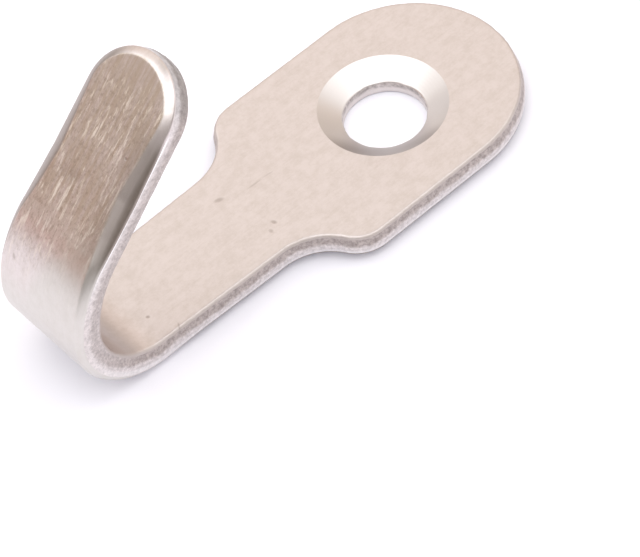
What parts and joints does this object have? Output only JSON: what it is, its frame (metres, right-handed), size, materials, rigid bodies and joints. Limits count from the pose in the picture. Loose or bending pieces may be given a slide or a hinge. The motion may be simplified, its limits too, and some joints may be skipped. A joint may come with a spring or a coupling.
{
  "type": "key hook",
  "caption": "One-piece stamped and folded sheet-steel hook for keys: a round-ended plate with a countersunk screw hole, and a tapered strip that curls into a J with a rounded tip.",
  "frame": {"origin": "The axis of the screw hole where it meets the back face of the plate.", "axes": "+Z is the front of the plate, the side that the screw enters and the arm stands over; +Y runs from the hole to the round end of the plate, which is up when the hook is on a wall; +X is across the plate. The hook lies on its back, as it comes to rest."},
  "size_m": [0.012, 0.0291, 0.0153],
  "materials": {
    "hook": "satin, with faint lengthwise rolling marks"
  },
  "bodies": {
    "root": {"hook": "hook"}
  },
  "joints": []
}
